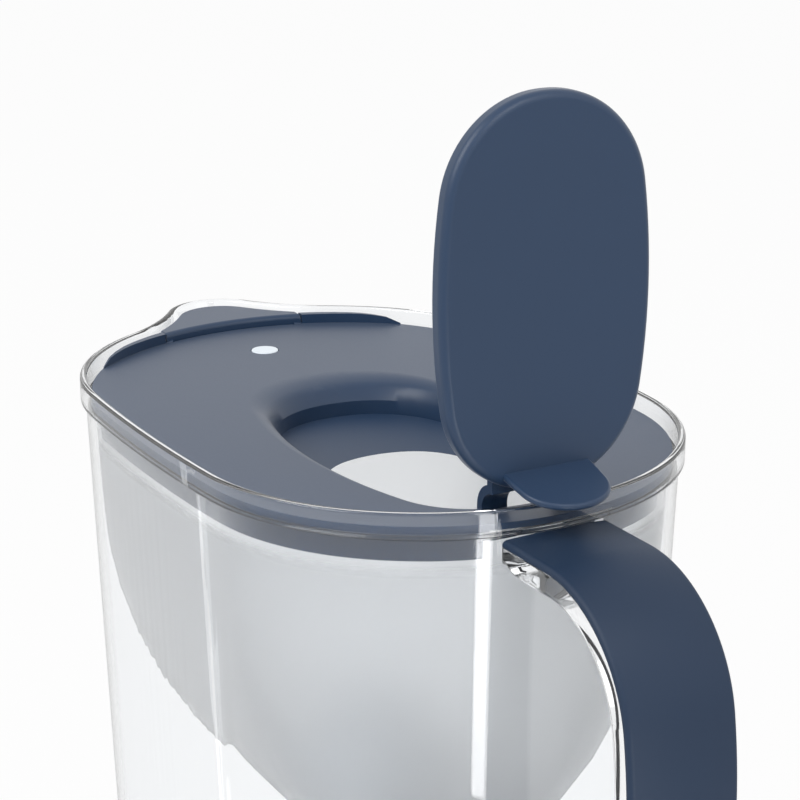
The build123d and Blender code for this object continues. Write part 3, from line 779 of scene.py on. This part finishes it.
@dataclass
class Jug:
    """Clear jug with its collar and spout, in millimetres."""

    rim: Oval = Oval()
    spout: Spout = Spout()
    height: float = 266.0
    rim_wall: float = 2.0
    rim_radius: float = 0.8
    collar: float = 7.0
    collar_step: float = 1.2
    collar_radius: float = 0.35
    ledge: float = 7.8
    wall: float = 2.4
    draft: float = math.tan(math.radians(2.1))
    base: float = 3.0
    base_radius: float = 8.0
    foot_height: float = 1.2
    foot_width: float = 7.0

    def wall_inset(self, depth: float) -> float:
        """How far the wall's outside stands inside the rim at a depth."""
        return self.collar_step + self.draft * depth

    def directions(self) -> np.ndarray:
        """Directions of the jug's columns, closer together at the spout."""
        outline = self.rim.points(0.0)
        around = np.arctan2(outline[:, 1], outline[:, 0])
        steps = np.hypot(*(np.roll(outline, -1, axis=0) - outline).T)
        steps = steps * np.where(np.abs(around) > math.pi - 0.4, 2.2, 1.0)
        length = np.concatenate([[0.0], np.cumsum(steps)])
        places = np.linspace(0.0, length[-1], 380, endpoint=False)
        unwrapped = np.concatenate([around, [around[0] + 2 * math.pi]])
        return np.interp(places, length, np.unwrap(unwrapped))

    def ring(self, station: Station, angles: np.ndarray) -> np.ndarray:
        """Points of one ring, in metres, with the spout softly joined to the oval."""
        oval = self.rim.reach(angles, station.inset)
        nose = self.spout.reach(angles, station.spout_grow, station.depth)
        soft = 0.3 + 0.05 * station.depth
        near = np.maximum(soft - np.abs(oval - nose), 0.0) / soft
        reach = np.maximum(oval, nose) + near**2 * soft / 4
        height = np.full_like(angles, self.height - station.depth)
        points = np.stack([reach * np.cos(angles), reach * np.sin(angles), height], axis=1)
        return points * MM

    def outside(self) -> list[Station]:
        """Rings from the middle of the base up the outside to the rim."""
        low_inset = self.wall_inset(self.height)
        foot = low_inset + self.base_radius + self.foot_width
        rings = [Station(self.height - self.foot_height, foot, 0.0)]
        rings.append(Station(self.height, foot - 0.3, 0.0))
        for step in range(9):
            turn = math.radians(step * 90 / 8)
            rise = self.base_radius * (1 - math.cos(turn))
            side = self.base_radius * (1 - math.sin(turn)) - self.draft * rise
            rings.append(Station(self.height - rise, low_inset + side, 0.0))
        wide = np.linspace(self.height - self.base_radius, self.spout.depth, 18)[1:]
        close = np.linspace(self.spout.depth, self.collar + 0.15, 26)[1:]
        for depth in [*wide, *close]:
            rings.append(Station(float(depth), self.wall_inset(float(depth)), 0.0))
        for step in range(4):
            turn = math.radians(step * 30)
            side = self.collar_radius * (1 - math.sin(turn))
            drop = self.collar_radius * (1 - math.cos(turn))
            rings.append(Station(self.collar - drop, side, 0.0))
        return rings

    def rim_edge(self) -> list[Station]:
        """Rings over the rounded rim."""
        rings = []
        for step in range(6):
            turn = math.radians(step * 18)
            side = self.rim_radius * (1 - math.cos(turn))
            drop = self.rim_radius * (1 - math.sin(turn))
            rings.append(Station(drop, side, -side))
        for station in list(reversed(rings)):
            side = self.rim_wall - station.inset
            rings.append(Station(station.depth, side, -side))
        return rings

    def inside(self) -> list[Station]:
        """Rings from the rim down the inside to the middle of the floor."""
        grow = -self.rim_wall
        rings = [Station(depth, self.rim_wall, grow) for depth in (3.0, 5.0, self.ledge - 0.15)]
        close = np.linspace(self.ledge, self.spout.depth, 26)
        low = self.height - self.base
        radius = self.base_radius - self.wall
        wide = np.linspace(self.spout.depth, low - radius, 18)[1:]
        for depth in [*close, *wide]:
            rings.append(Station(float(depth), self.wall_inset(float(depth)) + self.wall, grow))
        for step in range(1, 9):
            turn = math.radians(step * 90 / 8)
            drop = radius * math.sin(turn)
            side = radius * (1 - math.cos(turn)) + self.draft * drop
            depth = low - radius + drop
            inset = self.wall_inset(low - radius) + self.wall + side
            rings.append(Station(depth, inset, grow))
        return rings

    def build(self, palette: Palette) -> None:
        """Make the jug as one closed wall with a rounded rim."""
        angles = self.directions()
        stations = self.outside() + self.rim_edge() + self.inside()
        piece = wrapped_grid("jug_clear_body", [self.ring(one, angles) for one in stations])
        smooth(piece)
        palette.dress(piece, "clear_plastic")
        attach(piece, "jug")
        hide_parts("jug")
        LOG.info("piece jug_clear_body, %d rings of %d points", len(stations), len(angles))


@dataclass
class Handle:
    """Clear core of the handle and the soft crowned grip over it, in millimetres."""

    jug: Jug = field(default_factory=Jug)
    top_depth: float = 7.4
    straight: float = 16.6
    bend_radii: tuple[float, ...] = (37.8, 150.0, 60.0)
    bend_turns: tuple[float, ...] = (80.0, 35.0, 45.0)
    grip: float = 3.0
    grip_width: float = 31.0
    grip_crown: float = 1.2
    grip_radius: float = 1.5
    core_top: float = 3.15
    core_low: float = 10.0
    core_width: float = 30.2
    core_radius: float = 2.5
    edge_radius: float = 0.3
    core_joint: float = 0.8
    grip_joint: float = 0.1
    root_length: float = 5.0
    root_reach: float = 3.2
    root_share: float = 0.3

    def line(self) -> list[tuple[np.ndarray, float]]:
        """Points of the handle's outer line in the XZ plane, with the outward direction there."""
        centre = np.array([self.jug.rim.half_length + self.straight, -self.top_depth - self.bend_radii[0]])
        start = centre + (0.0, self.bend_radii[0])
        shares = (1.12, 1.08, 1.03, 0.98, 0.92, 0.8, 0.6, 0.3)
        points = [(start - (self.straight * share, 0.0), 90.0) for share in shares]
        angle = 90.0
        radii = [*self.bend_radii, self.bend_radii[-1]]
        for radius, following, turn in zip(radii, radii[1:], self.bend_turns):
            for step in range(int(turn / 1.5) + 1):
                now = angle - min(step * 1.5, turn)
                points.append((centre + radius * self.direction(now), now))
            angle -= turn
            centre = centre + (radius - following) * self.direction(angle)
        return points

    @staticmethod
    def direction(degrees: float) -> np.ndarray:
        """Unit direction in the XZ plane."""
        return np.array([math.cos(math.radians(degrees)), math.sin(math.radians(degrees))])

    def core_section(self) -> np.ndarray:
        """Outline of the core across the handle: sideways and inwards from its outer line."""
        half = self.core_width / 2
        corners = (
            (half, self.core_top, self.edge_radius, -90.0),
            (half, self.core_low, self.core_radius, 0.0),
            (-half, self.core_low, self.core_radius, 90.0),
            (-half, self.core_top, self.edge_radius, 180.0),
        )
        outline = []
        for side, inwards, radius, first in corners:
            middle_side = side - math.copysign(radius, side)
            middle_in = inwards + (radius if inwards == self.core_top else -radius)
            for step in range(7):
                turn = math.radians(first + 15 * step)
                outline.append((middle_side + radius * math.cos(turn), middle_in + radius * math.sin(turn)))
        return np.array(outline)

    def grip_section(self) -> np.ndarray:
        """Outline of the grip across the handle: a crowned outside and a flat inside."""
        half = self.grip_width / 2
        flat = half - self.grip_radius
        across = np.linspace(-flat, flat, 21)
        crown = np.stack([across, self.grip_crown * (across / half) ** 2], axis=1)
        turns = np.radians(np.arange(15, 91, 15))
        round_side = self.grip_radius * np.sin(turns)
        round_in = crown[0, 1] + self.grip_radius * (1 - np.cos(turns))
        right = np.stack([flat + round_side, round_in], axis=1)
        left = np.stack([-flat - round_side, round_in], axis=1)[::-1]
        small = self.edge_radius
        low = [
            (half, self.grip - small),
            (half - small, self.grip),
            (small - half, self.grip),
            (-half, self.grip - small),
        ]
        return np.concatenate([crown, right, np.array(low), left])

    def into_wall(self, points: np.ndarray, heading: np.ndarray, joint: float) -> np.ndarray:
        """Carry a ring on until each of its points is a little way inside the jug's wall."""
        moved = points.copy()
        for point in moved:
            for _ in range(8):
                angle = np.array([math.atan2(point[1], point[0])])
                inset = self.jug.wall_inset(-point[2]) + joint
                beyond = math.hypot(point[0], point[1]) - self.jug.rim.reach(angle, inset)[0]
                point += np.array([heading[0], 0.0, heading[1]]) * beyond / abs(heading[0])
        return moved

    def root(self, x: float) -> float:
        """Share of its full depth that the core has at a place near the upper joint."""
        away = (x - self.jug.rim.half_length + self.root_reach) / self.root_length
        away = min(max(away, 0.0), 1.0)
        return self.root_share + (1 - self.root_share) * math.sqrt(1 - (1 - away) ** 2)

    def rings(self, section: np.ndarray, joint: float, leaf: bool) -> list[np.ndarray]:
        """Rings of a section along the handle, from the upper joint to the lower one.

        Args:
            section: Points sideways and inwards from the handle's outer line.
            joint: How far the ends reach into the jug's wall.
            leaf: Whether the section grows like a leaf from the upper joint.

        Returns:
            The rings in metres.
        """
        rings = []
        top = section[:, 1].min()
        for point, degrees in self.line():
            outwards = self.direction(degrees)
            share = self.root(point[0]) if leaf and degrees == 90.0 else 1.0
            inwards = top + (section[:, 1] - top) * share
            x = point[0] - inwards * outwards[0]
            z = point[1] - inwards * outwards[1]
            rings.append(np.stack([x, section[:, 0], z], axis=1))
        last = self.direction(-sum(self.bend_turns))
        first_end = self.into_wall(rings[0], np.array([-1.0, 0.0]), joint)
        last_end = self.into_wall(rings[-1], last, joint)
        lift = np.array([0.0, 0.0, self.jug.height])
        return [(ring + lift) * MM for ring in [first_end, *rings, last_end]]

    def build(self, palette: Palette) -> None:
        """Make the core and the grip."""
        parts = (
            ("handle_clear_core", self.core_section(), self.core_joint, "jug", "clear_plastic"),
            ("handle_soft_grip", self.grip_section(), self.grip_joint, "handle_grip", "grip_rubber"),
        )
        for name, section, joint, node, slot in parts:
            piece = wrapped_grid(name, self.rings(section, joint, node == "jug"))
            smooth(piece)
            palette.dress(piece, slot)
            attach(piece, "jug")
            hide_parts(node)
            LOG.info("piece %s on jug", name)


@dataclass
class Hopper:
    """Milky bowl that hangs in the jug, and its flange."""

    def build(self, palette: Palette) -> None:
        """Make the bowl."""
        stand_in("hopper", "hopper_bowl", "hopper", palette)


@dataclass
class Cartridge:
    """Filter cartridge in the hopper's well."""

    nodes: tuple[str, ...] = (
        "cartridge_housing",
        "cartridge_cap",
        "cartridge_seal",
        "filter_granules",
        "cartridge_screen",
    )

    def build(self, palette: Palette) -> None:
        """Dress the cartridge's solids."""
        palette.dress_nodes(*self.nodes)


@dataclass(frozen=True)
class CrescentArc:
    """Circle that the crescent and the flap end on, towards the middle of the lid."""

    centre: float = -19.3 * MM
    radius: float = 73.9 * MM
    reach: float = 38.5 * MM

    def __call__(self, point: Vector) -> bool:
        """Tell whether a point is on the raised edge along the circle."""
        away = math.hypot(point.x - self.centre, point.y)
        return (
            point.z > LID_TOP + 1.0 * MM
            and abs(away - self.radius) < 0.1 * MM
            and abs(point.y) < self.reach
        )


@dataclass
class Lid:
    """Lid plate with its skirt, recess, fill hole and raised crescent."""

    plate_radius: float = 0.4 * MM
    crescent_radius: float = 1.6 * MM
    crescent_side: float = 0.4 * MM

    def build(self, palette: Palette) -> None:
        """Make the lid, with its plate's and crescent's edges rounded."""
        stand_in(
            "lid_shell",
            "lid_plate",
            "lid",
            palette,
            (
                Rounding(CrescentArc(), self.crescent_radius, 5),
                Rounding(at_height(CRESCENT_TOP), self.crescent_side, 3),
                Rounding(at_height(LID_TOP), self.plate_radius, 3, 60.0),
            ),
        )


@dataclass
class FlipLid:
    """Cover that stands open on its pin, with its arms, thumb tab and liner ring."""

    tab_root: tuple[float, float] = (92.2 * MM, RIM_TOP + 6.7 * MM)
    tab_half_width: float = 12.9 * MM
    tab_root_radius: float = 1.4 * MM

    def at_tab_root(self, point: Vector) -> bool:
        """Tell whether a point is on the line where the tab's top meets the cover."""
        x, z = self.tab_root
        beside = abs(point.x - x) < 0.4 * MM and abs(point.z - z) < 0.4 * MM
        return beside and abs(point.y) < self.tab_half_width

    def build(self, palette: Palette) -> None:
        """Make the cover and its liner, and dress the pin."""
        stand_in(
            "flip_lid",
            "flip_cover",
            "flip_lid",
            palette,
            (Rounding(self.at_tab_root, self.tab_root_radius, 4),),
        )
        stand_in("flip_lid_liner", "flip_cover_liner", "flip_lid", palette)
        palette.dress_nodes("flip_hinge_pin")


@dataclass
class SpoutFlap:
    """Flap over the spout, rounded like the crescent at its rear."""

    rear_radius: float = 1.6 * MM
    edge_radius: float = 0.4 * MM

    def build(self, palette: Palette) -> None:
        """Make the flap."""
        stand_in(
            "spout_flap",
            "spout_flap_tongue",
            "spout_flap",
            palette,
            (
                Rounding(CrescentArc(), self.rear_radius, 5),
                Rounding(at_height(CRESCENT_TOP), self.edge_radius, 3),
            ),
        )


@dataclass
class Indicator:
    """Filter change indicator: its button, and what its cup holds."""

    edge_radius: float = 0.35 * MM
    nodes: tuple[str, ...] = (
        "indicator_housing",
        "indicator_cover",
        "cover_seal",
        "coin_cell",
        "battery_contact",
        "circuit_board",
        "indicator_led",
        "indicator_switch",
    )

    def build(self, palette: Palette) -> None:
        """Make the button and dress the rest."""
        button_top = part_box("indicator_button")[1][2]
        stand_in(
            "indicator_button",
            "indicator_button_cap",
            "indicator_button",
            palette,
            (Rounding(at_height(button_top), self.edge_radius, 3),),
        )
        palette.dress_nodes(*self.nodes)


# ---------------------------------------------------------------- studio and camera
@dataclass(frozen=True)
class Lamp:
    """Rectangular soft lamp that faces a point."""

    name: str
    place: tuple[float, float, float]
    target: tuple[float, float, float]
    size: tuple[float, float]
    power: float

    def build(self) -> None:
        """Add the lamp."""
        bpy.ops.object.select_all(action="DESELECT")
        bpy.ops.object.light_add(type="AREA", location=self.place)
        lamp = bpy.context.object
        lamp.name = f"lamp_{self.name}"
        lamp.data.shape = "RECTANGLE"
        lamp.data.size, lamp.data.size_y = self.size
        lamp.data.energy = self.power
        aim = Vector(self.target) - Vector(self.place)
        lamp.rotation_euler = aim.to_track_quat("-Z", "Y").to_euler()


@dataclass
class Studio:
    """Plain pale floor, white surround and soft lamps."""

    floor_size: float = 6.0
    floor_glow: float = 0.93
    surround_light: float = 0.7
    lamps: tuple[Lamp, ...] = (
        Lamp("key", (0.2, -1.2, 1.4), (0.0, 0.0, 0.2), (1.0, 1.0), 14.0),
        Lamp("fill", (1.4, 0.4, 1.2), (0.0, 0.0, 0.2), (1.6, 1.6), 4.0),
        Lamp("lid_face", (0.30, 0.02, 0.56), (0.09, 0.0, 0.34), (0.12, 0.12), 0.15),
        Lamp("strip_handle_side", (0.395, -0.016, 0.10), (0.095, -0.019, 0.10), (0.06, 0.19), 0.2),
        Lamp("strip_long_side", (-0.21, -0.198, 0.11), (0.03, -0.066, 0.11), (0.004, 0.2), 0.003),
    )

    def build(self) -> None:
        """Add the floor, the world and the lamps."""
        self.floor()
        self.surround()
        for lamp in self.lamps:
            lamp.build()

    def floor(self) -> None:
        """Pale floor that looks white to the camera and keeps the pitcher's shadow."""
        bpy.ops.object.select_all(action="DESELECT")
        bpy.ops.mesh.primitive_plane_add(size=self.floor_size, location=(0, 0, 0))
        floor = bpy.context.object
        floor.name = "studio_floor"
        material = bpy.data.materials.new("paper_matte_white_floor")
        tree = empty_tree(material)
        paper = add_node(tree, "ShaderNodeBsdfDiffuse", {"Color": (0.8, 0.8, 0.8, 1)})
        glow = add_node(tree, "ShaderNodeEmission", {"Color": (1, 1, 1, 1), "Strength": 1.0})
        path = add_node(tree, "ShaderNodeLightPath")
        seen = add_node(
            tree,
            "ShaderNodeMath",
            links={0: path.outputs["Is Camera Ray"], 1: path.outputs["Is Transmission Ray"]},
            operation="MAXIMUM",
        )
        share = add_node(
            tree,
            "ShaderNodeMath",
            {1: self.floor_glow},
            {0: seen.outputs[0]},
            operation="MULTIPLY",
        )
        mix = add_node(
            tree,
            "ShaderNodeMixShader",
            links={0: share.outputs[0], 1: paper.outputs["BSDF"], 2: glow.outputs["Emission"]},
        )
        add_node(tree, "ShaderNodeOutputMaterial", links={"Surface": mix.outputs["Shader"]})
        floor.data.materials.append(material)

    def surround(self) -> None:
        """White world for the camera, reflections and clear plastic, softer as light."""
        world = bpy.data.worlds.new("studio_surround")
        bpy.context.scene.world = world
        tree = empty_tree(world)
        path = add_node(tree, "ShaderNodeLightPath")
        seen = add_node(
            tree,
            "ShaderNodeMath",
            links={0: path.outputs["Is Camera Ray"], 1: path.outputs["Is Glossy Ray"]},
            operation="MAXIMUM",
        )
        both = add_node(
            tree,
            "ShaderNodeMath",
            links={0: seen.outputs[0], 1: path.outputs["Is Transmission Ray"]},
            operation="MAXIMUM",
        )
        light = add_node(
            tree,
            "ShaderNodeBackground",
            {"Color": (1, 1, 1, 1), "Strength": self.surround_light},
        )
        white = add_node(tree, "ShaderNodeBackground", {"Color": (1, 1, 1, 1), "Strength": 1.0})
        mix = add_node(
            tree,
            "ShaderNodeMixShader",
            links={0: both.outputs[0], 1: light.outputs[0], 2: white.outputs[0]},
        )
        add_node(tree, "ShaderNodeOutputWorld", links={"Surface": mix.outputs["Shader"]})


@dataclass
class PhotoCamera:
    """The camera, at the photograph's viewing angle."""

    place: tuple[float, float, float] = (0.56423, -0.30332, 0.46682)
    back: tuple[float, float, float] = (0.83415, -0.46212, 0.30106)
    right: tuple[float, float, float] = (0.48448, 0.87480, 0.00045)
    lens: float = 107.92

    def build(self) -> None:
        """Add the camera and make it the scene's."""
        back = Vector(self.back).normalized()
        right = Vector(self.right).normalized()
        up = back.cross(right).normalized()
        right = up.cross(back).normalized()
        data = bpy.data.cameras.new("photo_camera")
        camera = bpy.data.objects.new("photo_camera", data)
        bpy.context.scene.collection.objects.link(camera)
        turn = Matrix((right, up, back)).transposed().to_4x4()
        camera.matrix_world = Matrix.Translation(Vector(self.place)) @ turn
        data.lens = self.lens
        data.sensor_width = 36.0
        data.clip_start = 0.01
        data.clip_end = 50.0
        bpy.context.scene.camera = camera


def main() -> None:
    """Build the sub-assemblies in order, then the studio and the camera."""
    palette = Palette()
    for assembly in (
        Jug(),
        Handle(),
        Hopper(),
        Cartridge(),
        Lid(),
        FlipLid(),
        SpoutFlap(),
        Indicator(),
    ):
        LOG.info("building %s", type(assembly).__name__)
        assembly.build(palette)
    Studio().build()
    PhotoCamera().build()
    bpy.context.scene.view_settings.view_transform = "Standard"


if __name__ == "__main__":
    logging.basicConfig(level=logging.INFO)
    main()
